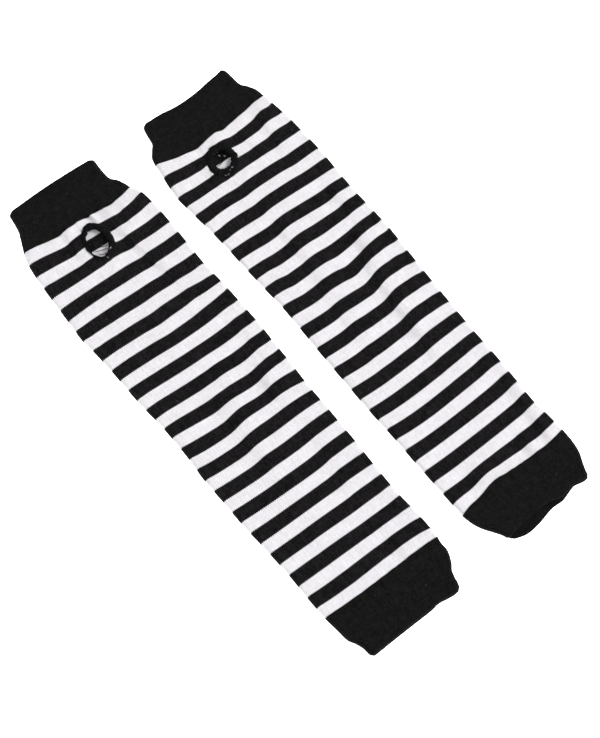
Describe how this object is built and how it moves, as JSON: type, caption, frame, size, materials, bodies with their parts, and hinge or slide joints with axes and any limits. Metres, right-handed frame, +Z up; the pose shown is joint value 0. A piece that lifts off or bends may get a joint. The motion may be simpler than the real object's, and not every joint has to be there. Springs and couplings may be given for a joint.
{
  "type": "pair of long knitted mittens",
  "caption": "Long striped knitted mittens with bare fingers, laid flat side by side: seamless tubes between plain doubled cuffs, with an overcast thumb hole in each upper layer.",
  "frame": {"origin": "centre of the pair's outline, on the surface that it lies on", "axes": "+Z up from the surface; +Y away from the viewer, the way the fingers lie; +X to the viewer's right. Each mitten lies turned about 37 degrees, its hand end at -X and +Y"},
  "size_m": [0.3484, 0.3967, 0.0051],
  "materials": {
    "black_knit": "fine black plain knit, doubled at the cuffs, matt with a little fuzz",
    "striped_knit": "fine plain knit in even black and white stripes, matt with a soft nap",
    "black_stitching": "close overcast stitches in black thread, with a slight sheen"
  },
  "bodies": {
    "root": {"left_hand_cuff": "black_knit", "left_arm_cuff": "black_knit", "left_striped_tube": "striped_knit", "left_thumb_ring": "black_stitching", "right_hand_cuff": "black_knit", "right_arm_cuff": "black_knit", "right_striped_tube": "striped_knit", "right_thumb_ring": "black_stitching"}
  },
  "joints": []
}
